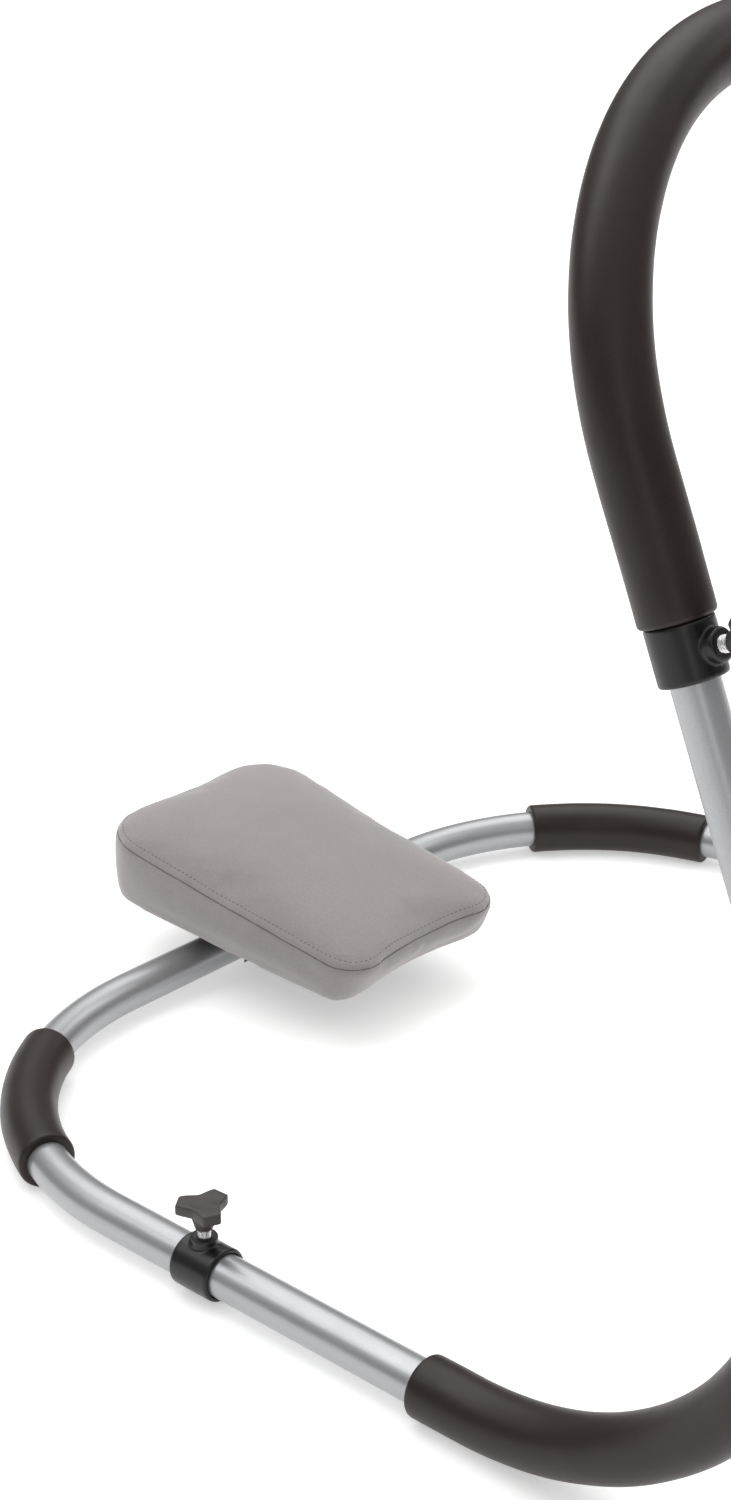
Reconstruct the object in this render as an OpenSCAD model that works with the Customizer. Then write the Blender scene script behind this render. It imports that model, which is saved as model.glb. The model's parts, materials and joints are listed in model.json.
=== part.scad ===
// Abdominal crunch rocker: a floor loop of steel tube with foam elbow rests and a pivoting headrest,
// two foam-covered rockers with raked uprights, and a foam-covered hand arch that telescopes on them.
// +X runs from the headrest to the rockers, +Z is up, and the floor is z = 0.

/* [Floor frame] */
// Distance between the two floor rails, centre to centre
rail_spacing = 640; // [600:10:700]
// Outside diameter of the frame tubes
tube_od = 25.4; // [25:0.1:26]
// Wall thickness of every tube
tube_wall = 1.5; // [1.4:0.1:1.6]
// Outside diameter of the telescoping inner tubes
inner_od = 22.25; // [22.2:0.05:22.25]
// Bend radius of the rear corners, at the tube's centre line
corner_r = 186; // [170:2:190]
// Height of the floor tubes' centre line above the floor
axis_z = 17.2; // [17.1:0.1:17.4]
// Crossbar to the clamp screws of the floor rails
rail_clamp_x = 262; // [256:2:266]

/* [Rockers and uprights] */
// Crossbar to the point where the rails start to curve up
rocker_x = 452; // [440:2:470]
// Radius of the rocker curve, at the tube's centre line
rocker_r = 195; // [185:1:205]
// Lean of the uprights towards the headrest, from vertical
lean = 22.5; // [20:0.5:25]
// Angle along the rocker curve where the rocker tube ends, round the upright's curved foot
rocker_joint = 62; // [45:1:80]
// Upright's length above the rocker curve
upright_length = 259; // [250:1:262]

/* [Hand arch] */
// Rocker curve's end to the clamp screws of the hand arch
arch_clamp = 184; // [176:1:190]
// Rocker curve's end to the start of the hand arch's bends
arch_bend = 267; // [266:1:280]
// Bend radius of the hand arch's corners, at the tube's centre line
arch_r = 160; // [140:2:180]

/* [Foam] */
// Outside diameter of the foam sleeves
foam_od = 35; // [35:0.1:35.4]
// Angle along the left rear corner where the elbow foam starts
elbow_start_left = 35.5; // [33:0.5:38]
// Angle along the right rear corner where the elbow foam starts
elbow_start_right = 27.5; // [25:0.5:30]
// Angle that the elbow foam covers
elbow_sweep = 41; // [38:1:43]
// Crossbar to the start of the rocker foam
rocker_foam_x = 422; // [410:2:436]

/* [Clamp collars and knobs] */
// Outside diameter of the collars
collar_od = 31.2; // [30.6:0.1:32]
// Height of a collar's boss above the tube's centre line
boss_top = 20; // [19:0.5:21]
// Diameter of the clamp screws
screw_d = 8; // [6, 8]
// Height of a knob's underside above the tube's centre line
knob_z = 24.5; // [24:0.5:27]
// Radius of a knob to the ends of its three lobes
knob_r = 15; // [13.5:0.5:16.5]
// Height of a knob
knob_h = 16; // [15:0.5:18]

/* [Headrest] */
// Headrest's reach behind the crossbar
pad_back = 91; // [84:1:96]
// Headrest's reach in front of the crossbar
pad_front = 144; // [134:1:150]
// Headrest's width at the back
pad_back_w = 172; // [160:2:190]
// Headrest's width at the front
pad_front_w = 160; // [150:2:180]
// Depth of the neck curve in the front edge
neck_depth = 7; // [4:1:12]
// Tube's centre line to the headrest's underside
pad_z = 23; // [22:0.5:26]
// Thickness of the headrest's side above the crossbar
pad_t = 43.5; // [39:0.5:47]
// Extra height of the headrest's crowned top
pad_crown = 12; // [6:1:15]
// Slope of the headrest's underside, high at the back
pad_tilt = 4; // [0:0.5:6]
// Extra slope of the headrest's top, which makes it a wedge
pad_wedge = 5; // [3:0.5:6]

/* [Hidden] */
$fn = 96;

pad_rear_x = pad_z * sin(pad_tilt) - pad_back * cos(pad_tilt);
front_x = rocker_x + rocker_r + foam_od / 2;
crossbar_x = round(-50 * (front_x + pad_rear_x)) / 100; // origin under the middle of the object
bore_d = tube_od - 2 * tube_wall; // inside of the frame tubes, where the inner tubes are pressed in
half_bar = rail_spacing / 2 - corner_r;
rear_end = 8;                    // rear tube's mouth, past the clamp screw
joint_gap = 1;                   // rear tube's mouth to the rocker tube's end
press_length = 60;               // spigot's length held inside the rocker tube
joint_overlap = 15;              // angle of the upright's foot that is inside the rocker tube
spigot_reach = 70;               // spigot's reach behind the clamp screw
arch_end = 9;                    // hand arch's mouth, past the clamp screw
arch_foam_gap = 13;              // clamp screw to the lower end of the hand arch's foam
plug_head = 3;
plug_body = 12;
screw_gap = 0.05;                // radial play of a clamp screw in its nut and its knob
tip_gap = 0.1;                   // play between a screw's tip and the inner tube, so they don't overlap
nut_z = 13.2;
nut_h = 4.8;
nut_flats = 11;
tube_hole_d = screw_d + 0.6;     // hole in the outer tube's wall for the clamp screw
screw_top = knob_z + 11.5;
lobe_half = 4.8;                   // half the width of a knob lobe's flat end
lobe_waist = 9.4;               // knob's radius between the lobes
knob_turn = 94;                  // direction of the right rail knob's first lobe
skin = 1.5;                      // thickness of the headrest's cover
crown_step = 9;                  // how far the headrest's crown steps in
board_t = 9;
saddle_w = 26;
saddle_y = 22;                   // middle of each saddle, from the middle of the crossbar
saddle_wall = 3.6;
saddle_gap = 0.05;               // radial play of the saddles on the crossbar
flange_t = 4;
flange_l = 76;
wood_screw_x = 29;
wood_screw_l = 11;

steel_grey = [0.72, 0.71, 0.70];
foam_black = [0.16, 0.14, 0.14];
plastic_black = [0.10, 0.10, 0.10];
knob_grey = [0.27, 0.24, 0.24];
bright_steel = [0.80, 0.80, 0.82];
cover_grey = [0.60, 0.58, 0.57];

// ---- frames ----

// Draws its children on the right (side -1), or mirrored on the left (side 1).
module on_side(side) {
    if (side < 0) children();
    else mirror([0, 1, 0]) children();
}

// Moves from the crossbar's middle to the part's origin.
module at_crossbar() {
    translate([crossbar_x, 0, axis_z]) children();
}

// Frame of a right rail's clamp: origin on the tube's centre line, +X to the rocker, +Z up the screw.
module at_rail_clamp() {
    at_crossbar() translate([rail_clamp_x, -rail_spacing / 2, 0]) children();
}

// Frame of the right upright: origin at the end of the rocker curve, +Z up the upright, +X forward.
module at_upright() {
    at_crossbar() translate([rocker_x, -rail_spacing / 2, rocker_r])
        rotate([0, -lean, 0]) translate([rocker_r, 0, 0]) children();
}

// Frame of the hand arch's right clamp: +X down the upright, +Z up the screw.
module at_arch_clamp() {
    at_upright() translate([0, 0, arch_clamp]) rotate([0, 90, 0]) children();
}

// Frame of the headrest, tilted about the crossbar.
module at_headrest() {
    at_crossbar() rotate([0, pad_tilt, 0]) children();
}

// ---- general shapes ----

// Straight round bar along +X.
module bar_x(d, x0, x1) {
    translate([x0, 0, 0]) rotate([0, 90, 0]) cylinder(d = d, h = x1 - x0);
}

// Straight pipe along +X.
module pipe_x(od, id, x0, x1) {
    difference() {
        bar_x(od, x0, x1);
        bar_x(id, x0 - 1, x1 + 1);
    }
}

// Keeps what is above the floor, which gives the resting foam its flat.
module above_floor() {
    difference() {
        children();
        translate([-600, -600, -60]) cube([1200, 1200, 60]);
    }
}

// ---- floor frame ----

// Solid round bar along the rear tube's centre line, from one rail's mouth to the other.
module rear_path(d) {
    rotate([90, 0, 0]) translate([0, 0, -half_bar]) cylinder(d = d, h = 2 * half_bar);
    for (s = [-1, 1]) on_side(s) {
        translate([corner_r, -half_bar, 0]) rotate([0, 0, 180])
            rotate_extrude(angle = 90) translate([corner_r, 0]) circle(d = d);
        translate([0, -rail_spacing / 2, 0]) bar_x(d, corner_r, rail_clamp_x + rear_end);
    }
}

module rear_tube() {
    color(steel_grey) at_crossbar() difference() {
        rear_path(tube_od);
        rear_path(bore_d);
        for (s = [-1, 1]) on_side(s) translate([0, -rail_spacing / 2, 0]) {
            bar_x(bore_d, rail_clamp_x, rail_clamp_x + rear_end + 1);
            translate([rail_clamp_x, 0, 0]) cylinder(d = tube_hole_d, h = tube_od);
        }
    }
}

module elbow_foam(side) {
    start = side < 0 ? elbow_start_right : elbow_start_left;
    color(foam_black) above_floor() on_side(side) at_crossbar()
        translate([corner_r, -half_bar, 0]) rotate([0, 0, 180 + start])
            rotate_extrude(angle = elbow_sweep) translate([corner_r, 0]) difference() {
                circle(d = foam_od);
                circle(d = tube_od);
            }
}

// Solid bar along a rocker's centre line, from x0 on the rail to an angle along the curve.
module rocker_path(d, x0, angle) {
    translate([0, -rail_spacing / 2, 0]) {
        bar_x(d, x0, rocker_x);
        translate([rocker_x, 0, rocker_r]) rotate([90, 0, 0]) rotate([0, 0, -90])
            rotate_extrude(angle = angle) translate([rocker_r, 0]) circle(d = d);
    }
}

module rocker_tube(side) {
    start = rail_clamp_x + rear_end + joint_gap;
    color(steel_grey) on_side(side) at_crossbar() difference() {
        rocker_path(tube_od, start, rocker_joint);
        rocker_path(bore_d, start - 1, rocker_joint + 1);
    }
}

module rocker_foam(side) {
    color(foam_black) above_floor() on_side(side) at_crossbar() difference() {
        rocker_path(foam_od, rocker_foam_x, 90 + lean);
        rocker_path(tube_od, rocker_foam_x - 1, rocker_joint);
        rocker_path(inner_od, rocker_foam_x - 1, 91 + lean);
    }
}

// Spigot: pressed into the rocker tube, and free in the rear tube.
module rail_spigot(side) {
    mouth = rear_end + joint_gap;
    color(bright_steel) on_side(side) at_rail_clamp() difference() {
        union() {
            bar_x(bore_d, mouth, mouth + press_length);
            bar_x(inner_od, -spigot_reach, mouth);
        }
        bar_x(inner_od - 2 * tube_wall, -spigot_reach - 1, mouth + press_length + 1);
    }
}

// Plastic plug along +X in the end of an inner tube, with its head outside.
module tube_plug() {
    bar_x(inner_od, 0, plug_head);
    bar_x(inner_od - 2 * tube_wall, -plug_body, 0);
}

module spigot_plug(side) {
    color(plastic_black) on_side(side) at_rail_clamp() rotate([0, 0, 180])
        translate([spigot_reach, 0, 0]) tube_plug();
}

// Solid bar along an upright's centre line: a foot that bends with the rocker, and a straight stem.
module upright_path(d, foot, stem) {
    cylinder(d = d, h = stem);
    translate([-rocker_r, 0, 0]) rotate([90, 0, 0]) mirror([0, 1, 0])
        rotate_extrude(angle = foot) translate([rocker_r, 0]) circle(d = d);
}

module upright(side) {
    foot = 90 + lean - rocker_joint + joint_overlap;
    color(steel_grey) on_side(side) at_upright() difference() {
        upright_path(inner_od, foot, upright_length);
        upright_path(inner_od - 2 * tube_wall, foot + 1, upright_length + 1);
    }
}

module upright_plug(side) {
    color(plastic_black) on_side(side) at_upright() rotate([0, -90, 0])
        translate([upright_length, 0, 0]) tube_plug();
}

// ---- hand arch ----

// Solid bar along the hand arch's centre line, in the uprights' plane, from a height on each side.
module arch_path(d, z0) {
    for (s = [0, 1]) translate([0, rail_spacing / 2, 0]) mirror([0, s, 0])
        translate([0, -rail_spacing / 2, 0]) {
            translate([0, 0, z0]) cylinder(d = d, h = arch_bend - z0);
            translate([0, arch_r, arch_bend]) rotate([0, -90, 0]) rotate([0, 0, -90])
                rotate_extrude(angle = 90) translate([arch_r, 0]) circle(d = d);
        }
    translate([0, arch_r, arch_bend + arch_r]) rotate([-90, 0, 0])
        cylinder(d = d, h = rail_spacing - 2 * arch_r);
}

module hand_arch_tube() {
    start = arch_clamp - arch_end;
    color(steel_grey) at_upright() difference() {
        arch_path(tube_od, start);
        arch_path(bore_d, start - 1);
        for (y = [0, rail_spacing]) translate([0, y, arch_clamp]) rotate([0, 90, 0])
            cylinder(d = tube_hole_d, h = tube_od);
    }
}

module hand_arch_foam() {
    start = arch_clamp + arch_foam_gap;
    color(foam_black) at_upright() difference() {
        arch_path(foam_od, start);
        arch_path(tube_od, start - 1);
    }
}

// ---- clamp collars ----

// Collar body along +X with rounded rims, before its bore and its boss's bore.
module collar_body(x0, x1) {
    rim = 1.5;
    rotate([0, 90, 0]) rotate_extrude() union() {
        translate([0, x0]) square([collar_od / 2 - rim, x1 - x0]);
        translate([0, x0 + rim]) square([collar_od / 2, x1 - x0 - 2 * rim]);
        for (x = [x0 + rim, x1 - rim]) translate([collar_od / 2 - rim, x]) circle(r = rim);
    }
    cylinder(d = 15.4, h = boss_top - 1);
    cylinder(d = 13.6, h = boss_top);
}

// Collar: seats the outer tube up to its mouth, with a wider or narrower bore beyond it.
module collar(x0, x1, mouth, lip_d) {
    difference() {
        collar_body(x0, x1);
        bar_x(tube_od, x0 - 1, mouth);
        bar_x(lip_d, mouth - 1, x1 + 1);
        cylinder(d = tube_hole_d, h = boss_top + 1);
        translate([0, 0, nut_z]) cylinder(d = nut_flats / cos(30), h = nut_h, $fn = 6);
    }
}

module clamp_nut() {
    translate([0, 0, nut_z]) difference() {
        cylinder(d = nut_flats / cos(30), h = nut_h, $fn = 6);
        translate([0, 0, -1]) cylinder(d = screw_d, h = nut_h + 2);
    }
}

module clamp_screw() {
    tip = inner_od / 2 + tip_gap;
    r = screw_d / 2 - screw_gap;
    translate([0, 0, tip]) cylinder(r1 = r - 1, r2 = r, h = 1);
    translate([0, 0, tip + 1]) cylinder(r = r, h = screw_top - tip - 1);
}

// Outline of the three-lobed knob: two corners on each lobe, and a shallow curve to the next lobe.
function knob_outline(r, w) = [for (k = [0:2])
    let (a = 120 * k, half = atan(w / r), reach = norm([r, w]))
    each concat([[reach * cos(a - half), reach * sin(a - half)]],
        [for (t = [0:6]) let (b = a + half + (120 - 2 * half) * t / 6,
            dip = lobe_waist + (reach - lobe_waist) * pow(abs(t - 3) / 3, 2))
            [dip * cos(b), dip * sin(b)]])];

module clamp_knob(turn) {
    plate = 6.5;
    chamfer = 1;
    hub = knob_h - plate;
    translate([0, 0, knob_z]) rotate([0, 0, turn]) difference() {
        union() {
            cylinder(r1 = 5.1, r2 = 7.6, h = hub);
            translate([0, 0, hub]) linear_extrude(plate - chamfer)
                polygon(knob_outline(knob_r, lobe_half));
            translate([0, 0, hub]) linear_extrude(plate)
                polygon(knob_outline(knob_r - chamfer, lobe_half - chamfer / 2));
        }
        translate([0, 0, -1]) cylinder(d = screw_d, h = screw_top - knob_z + 1);
    }
}

module rail_collar(side) {
    color(plastic_black) on_side(side) at_rail_clamp() collar(-13, 15.5, rear_end, tube_od + 1.6);
}

module rail_nut(side) {
    color(bright_steel) on_side(side) at_rail_clamp() clamp_nut();
}

module rail_screw(side) {
    color(bright_steel) on_side(side) at_rail_clamp() clamp_screw();
}

module rail_knob(side) {
    color(knob_grey) on_side(side) at_rail_clamp() clamp_knob(knob_turn);
}

module arch_collar(side) {
    color(plastic_black) on_side(side) at_arch_clamp() collar(-13, 13, arch_end, inner_od + 0.6);
}

module arch_nut(side) {
    color(bright_steel) on_side(side) at_arch_clamp() clamp_nut();
}

module arch_screw(side) {
    color(bright_steel) on_side(side) at_arch_clamp() clamp_screw();
}

module arch_knob(side) {
    color(knob_grey) on_side(side) at_arch_clamp() clamp_knob(knob_turn);
}

// ---- headrest ----

// Points of a round corner between two directions.
function round_corner(x, y, r, a0, a1) = [for (t = [0:6]) let (a = a0 + (a1 - a0) * t / 6)
    [x + r * cos(a), y + r * sin(a)]];

// Plan of the headrest, smaller by an inset all round: round corners and a curved-in front edge.
function pad_outline(inset) = let (rb = 42 - inset, rf = 27 - inset,
    xb = -pad_back + inset, xf = pad_front - inset,
    yb = pad_back_w / 2 - inset, yf = pad_front_w / 2 - inset)
    concat(round_corner(xb + rb, yb - rb, rb, 90, 180), round_corner(xb + rb, rb - yb, rb, 180, 270),
        round_corner(xf - rf, rf - yf, rf, 270, 360),
        [for (t = [1:9]) let (u = t / 5 - 1) [xf - neck_depth * (1 - u * u), (yf - rf) * u]],
        round_corner(xf - rf, yf - rf, rf, 0, 90));

// Straight-sided wedge on the headrest's plan, with its sloping top at a height over the crossbar.
module pad_slab(inset, base, top) {
    difference() {
        translate([0, 0, base]) linear_extrude(top) polygon(pad_outline(inset));
        translate([0, 0, top]) rotate([0, pad_wedge, 0]) translate([-300, -200, 0])
            cube([600, 400, 200]);
    }
}

// Headrest's form: straight sides and a stepped-in crown, smaller all round by an inset.
module pad_form(inset) {
    side_top = pad_z + pad_t - inset;
    pad_slab(inset, pad_z + inset, side_top);
    pad_slab(inset + crown_step, pad_z + inset, side_top + pad_crown);
}

// Cover of the headrest: a skin over the core and the board, open in the middle of its underside.
module headrest_cover() {
    color(cover_grey) at_headrest() difference() {
        pad_form(0);
        pad_form(skin);
        translate([0, 0, pad_z - 1]) linear_extrude(skin + 2) polygon(pad_outline(20));
    }
}

module headrest_core() {
    color("beige") at_headrest() difference() {
        pad_form(skin);
        translate([-200, -200, pad_z]) cube([400, 400, skin + board_t]);
    }
}

module headrest_board() {
    color("black") at_headrest() difference() {
        translate([0, 0, pad_z + skin]) linear_extrude(board_t) polygon(pad_outline(skin));
        wood_screws();
    }
}

// Saddle that clips on the crossbar from above, with a flange under the board.
module headrest_saddle(side) {
    od = tube_od + 2 * saddle_gap + 2 * saddle_wall;
    color(plastic_black) on_side(side) at_headrest() translate([0, -saddle_y, 0]) difference() {
        union() {
            translate([0, saddle_w / 2, 0]) rotate([90, 0, 0]) cylinder(d = od, h = saddle_w);
            translate([-od / 2, -saddle_w / 2, 0]) cube([od, saddle_w, pad_z]);
            translate([-flange_l / 2, -saddle_w / 2, pad_z - flange_t])
                cube([flange_l, saddle_w, flange_t + skin]);
        }
        translate([0, saddle_w, 0]) rotate([90, 0, 0])
            cylinder(d = tube_od + 2 * saddle_gap, h = 2 * saddle_w);
        translate([-11, -saddle_w, -od]) cube([22, 2 * saddle_w, od]);
        translate([0, saddle_y, 0]) wood_screws();
    }
}

// Four countersunk wood screws up through the saddles' flanges into the board.
module wood_screws() {
    for (x = [-wood_screw_x, wood_screw_x], y = [-saddle_y, saddle_y])
        translate([x, y, pad_z - flange_t]) {
            cylinder(d1 = 8, d2 = 4, h = 2.5);
            cylinder(d = 4, h = wood_screw_l);
        }
}

module headrest_screws() {
    color(bright_steel) at_headrest() wood_screws();
}

rear_tube();
elbow_foam(1);  // elbow_foam_left
elbow_foam(-1);  // elbow_foam_right
rail_collar(1);  // rail_collar_left
rail_collar(-1);  // rail_collar_right
rail_nut(1);  // rail_nut_left
rail_nut(-1);  // rail_nut_right
rail_screw(1);  // rail_screw_left
rail_screw(-1);  // rail_screw_right
rail_knob(1);  // rail_knob_left
rail_knob(-1);  // rail_knob_right
rocker_tube(1);  // rocker_tube_left
rocker_tube(-1);  // rocker_tube_right
rocker_foam(1);  // rocker_foam_left
rocker_foam(-1);  // rocker_foam_right
rail_spigot(1);  // rail_spigot_left
rail_spigot(-1);  // rail_spigot_right
spigot_plug(1);  // spigot_plug_left
spigot_plug(-1);  // spigot_plug_right
upright(1);  // upright_left
upright(-1);  // upright_right
upright_plug(1);  // upright_plug_left
upright_plug(-1);  // upright_plug_right
hand_arch_tube();
hand_arch_foam();
arch_collar(1);  // arch_collar_left
arch_collar(-1);  // arch_collar_right
arch_nut(1);  // arch_nut_left
arch_nut(-1);  // arch_nut_right
arch_screw(1);  // arch_screw_left
arch_screw(-1);  // arch_screw_right
arch_knob(1);  // arch_knob_left
arch_knob(-1);  // arch_knob_right
headrest_cover();
headrest_core();
headrest_board();
headrest_saddle(1);  // headrest_saddle_left
headrest_saddle(-1);  // headrest_saddle_right
headrest_screws();
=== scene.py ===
"""Abdominal crunch roller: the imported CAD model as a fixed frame, with its soft parts, knobs,
collars and screws modelled in detail and a procedural material on every piece.
Lengths are in metres."""
import json
import math

import bmesh
import bpy
import numpy as np
from mathutils import Matrix, Vector
from mathutils.bvhtree import BVHTree
from mathutils.noise import noise


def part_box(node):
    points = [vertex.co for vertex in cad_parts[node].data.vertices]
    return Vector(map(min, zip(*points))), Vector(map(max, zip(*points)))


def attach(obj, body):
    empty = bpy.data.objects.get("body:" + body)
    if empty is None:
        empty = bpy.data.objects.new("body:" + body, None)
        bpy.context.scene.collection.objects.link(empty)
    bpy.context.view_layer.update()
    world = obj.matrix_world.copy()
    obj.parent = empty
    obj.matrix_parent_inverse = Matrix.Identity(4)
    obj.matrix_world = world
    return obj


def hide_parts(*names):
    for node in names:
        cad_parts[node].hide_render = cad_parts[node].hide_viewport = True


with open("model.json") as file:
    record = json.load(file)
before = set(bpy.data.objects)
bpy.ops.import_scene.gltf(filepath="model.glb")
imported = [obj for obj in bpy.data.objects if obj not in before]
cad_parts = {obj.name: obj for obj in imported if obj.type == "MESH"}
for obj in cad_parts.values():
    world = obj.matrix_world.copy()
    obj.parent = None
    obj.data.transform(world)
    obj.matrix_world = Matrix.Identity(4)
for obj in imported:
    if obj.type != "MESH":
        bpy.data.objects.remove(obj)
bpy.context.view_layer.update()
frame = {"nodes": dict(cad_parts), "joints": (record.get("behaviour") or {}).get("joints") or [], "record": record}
nodes = frame["nodes"]
joints = {joint["name"]: joint for joint in frame["joints"]}

# ---- the frame's own sizes ----
SIDES = {"right": -1, "left": 1}
CROSSBAR = Vector(joints["headrest_tilt"]["pos_m"])   # middle of the crossbar's centre line
LEG_DIR = Vector(joints["arch_height"]["axis"])       # up along the uprights
LEG_OUT = Vector((LEG_DIR.z, 0, -LEG_DIR.x))          # square to the uprights, forward and up
RAIL_Y = (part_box("rocker_tube_left")[0].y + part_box("rocker_tube_left")[1].y) / 2
TUBE_R = 0.0127              # rear, rocker and arch tubes
LEG_R = 0.011125             # uprights and spigots
FOAM_R = 0.0175              # every foam sleeve
CORNER_R = 0.186             # the rear tube's corners
ROCKER_X = 0.452             # where the rails start to curve up
ROCKER_R = 0.195
ROCKER_FOAM_X = 0.422        # where the rockers' foam starts
LEAN = math.radians(22.5)    # of the uprights
ARCH_FOAM = 0.197            # lengths along the uprights: the foam's start,
ARCH_BEND = 0.267            # the arch's bend,
ARCH_CLAMP = 0.184           # and the clamp
ARCH_R = 0.160
RAIL_CLAMP_X = 0.262
FLOOR_GAP = 0.0002           # foam that lies on the floor stops this high
ELBOW_START = {"right": math.radians(27.5), "left": math.radians(35.5)}
ELBOW_SWEEP = math.radians(41)

X = Vector((1, 0, 0))
Y = Vector((0, 1, 0))
Z = Vector((0, 0, 1))


def crossbar_point(x, y, z):
    """A point given from the middle of the crossbar's centre line."""
    return CROSSBAR + Vector((x, y, z))


LEG_FOOT = crossbar_point(ROCKER_X, -RAIL_Y, ROCKER_R) + LEG_OUT * ROCKER_R


# ---- camera ----
def make_camera():
    """Looks at the object from its right front, as the photograph does, without shift or roll."""
    lens_mm = 65.0
    yaw, pitch = 0.7384, 0.4056
    place = (1.17145, -1.18848, 0.84648)
    data = bpy.data.cameras.new("camera")
    data.lens = lens_mm
    data.sensor_width = 36.0
    data.clip_end = 50.0
    camera = bpy.data.objects.new("camera", data)
    camera.location = crossbar_point(*place)
    camera.rotation_euler = (math.pi / 2 - pitch, 0, yaw)
    bpy.context.scene.collection.objects.link(camera)
    bpy.context.scene.camera = camera


# ---- materials ----
class Shader:
    """A node material with one Principled shader, and short calls to wire it."""

    def __init__(self, name, base, roughness, **sockets):
        self.material = bpy.data.materials.new(name)
        self.material.use_nodes = True
        self.tree = self.material.node_tree
        self.bsdf = self.tree.nodes["Principled BSDF"]
        self.bsdf.inputs["Base Color"].default_value = (*base, 1)
        self.bsdf.inputs["Roughness"].default_value = roughness
        for socket, value in sockets.items():
            self.bsdf.inputs[socket.replace("_", " ")].default_value = value
        self.place = self.node("ShaderNodeTexCoord").outputs["Object"]

    def node(self, kind, **settings):
        made = self.tree.nodes.new(kind)
        for key, value in settings.items():
            setattr(made, key, value)
        return made

    def join(self, output, node, socket):
        self.tree.links.new(output, node.inputs[socket])

    def noise(self, scale, detail=4.0, roughness=0.5):
        made = self.node("ShaderNodeTexNoise")
        made.inputs["Scale"].default_value = scale
        made.inputs["Detail"].default_value = detail
        made.inputs["Roughness"].default_value = roughness
        self.join(self.place, made, "Vector")
        return made.outputs["Fac"]

    def cells(self, scale):
        made = self.node("ShaderNodeTexVoronoi")
        made.inputs["Scale"].default_value = scale
        self.join(self.place, made, "Vector")
        return made.outputs["Distance"]

    def ramp(self, value, stops):
        made = self.node("ShaderNodeValToRGB")
        ramp = made.color_ramp
        while len(ramp.elements) < len(stops):
            ramp.elements.new(0.5)
        for element, (place, colour) in zip(ramp.elements, stops):
            element.position = place
            element.color = (*colour, 1)
        self.join(value, made, "Fac")
        return made.outputs["Color"]

    def mix(self, kind, factor, first, second):
        made = self.node("ShaderNodeMix", data_type="RGBA", blend_type=kind)
        made.inputs["Factor"].default_value = factor
        self.join(first, made, "A")
        self.join(second, made, "B")
        for output in made.outputs:
            if output.type == "RGBA":
                return output

    def levels(self, value, low, high):
        made = self.node("ShaderNodeMapRange")
        made.inputs["To Min"].default_value = low
        made.inputs["To Max"].default_value = high
        self.join(value, made, "Value")
        return made.outputs["Result"]

    def bump(self, heights):
        """Chains bumps, each (value, strength, distance in metres), into the shader's normal."""
        normal = None
        for value, strength, distance in heights:
            made = self.node("ShaderNodeBump")
            made.inputs["Strength"].default_value = strength
            made.inputs["Distance"].default_value = distance
            self.join(value, made, "Height")
            if normal:
                self.join(normal, made, "Normal")
            normal = made.outputs["Normal"]
        self.join(normal, self.bsdf, "Normal")

    def colour(self, output):
        self.join(output, self.bsdf, "Base Color")

    def roughness(self, output):
        self.join(output, self.bsdf, "Roughness")


def frame_paint():
    """Silver powder paint with fine flakes and a soft orange-peel surface."""
    s = Shader("frame_paint", (0.37, 0.375, 0.385), 0.36,
               Metallic=0.72, Coat_Weight=0.30, Coat_Roughness=0.16)
    flakes = s.cells(2600)
    s.colour(s.ramp(flakes, [(0.0, (0.415, 0.42, 0.43)), (0.55, (0.37, 0.375, 0.385)),
                             (1.0, (0.33, 0.335, 0.345))]))
    s.roughness(s.levels(s.noise(35), 0.32, 0.42))
    s.bump([(s.noise(420, 2), 0.10, 0.0002), (flakes, 0.06, 0.00008)])
    return s.material


def foam_skin():
    """Dark closed-cell foam rubber with a fine cellular skin."""
    s = Shader("foam_skin", (0.013, 0.0075, 0.0065), 0.42, Sheen_Weight=0.06, Sheen_Roughness=0.4)
    s.bsdf.inputs["Sheen Tint"].default_value = (0.60, 0.45, 0.41, 1)
    s.bsdf.inputs["Specular IOR Level"].default_value = 0.34
    cloud = s.noise(22, 5)
    s.colour(s.ramp(cloud, [(0.30, (0.0110, 0.0055, 0.0043)), (0.70, (0.0165, 0.0088, 0.0070))]))
    s.roughness(s.levels(s.noise(60, 4), 0.36, 0.48))
    s.bump([(s.noise(160, 4), 0.18, 0.0004), (s.cells(1500), 0.22, 0.00015)])
    return s.material


def clamp_plastic():
    """Black moulded plastic, half gloss, with a fine spark-eroded grain."""
    s = Shader("clamp_plastic", (0.006, 0.005, 0.005), 0.28, Specular_IOR_Level=0.4)
    s.roughness(s.levels(s.noise(240, 5), 0.24, 0.40))
    s.bump([(s.noise(1100, 3), 0.12, 0.0001), (s.noise(90, 2), 0.05, 0.0003)])
    return s.material


def knob_plastic():
    """Charcoal moulded plastic with a matt grain and a tone mottled by noise."""
    s = Shader("knob_plastic", (0.034, 0.028, 0.028), 0.42, Specular_IOR_Level=0.4)
    s.colour(s.ramp(s.noise(120, 4), [(0.3, (0.040, 0.032, 0.031)), (0.7, (0.052, 0.043, 0.042))]))
    s.roughness(s.levels(s.noise(300, 4), 0.40, 0.56))
    s.bump([(s.noise(1500, 3), 0.20, 0.0001)])
    return s.material


def bright_steel():
    """Zinc-plated steel of the screws and nuts."""
    s = Shader("bright_steel", (0.72, 0.72, 0.73), 0.26, Metallic=1.0)
    s.roughness(s.levels(s.noise(500, 4), 0.18, 0.36))
    s.bump([(s.noise(900, 3), 0.08, 0.00005)])
    return s.material


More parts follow.
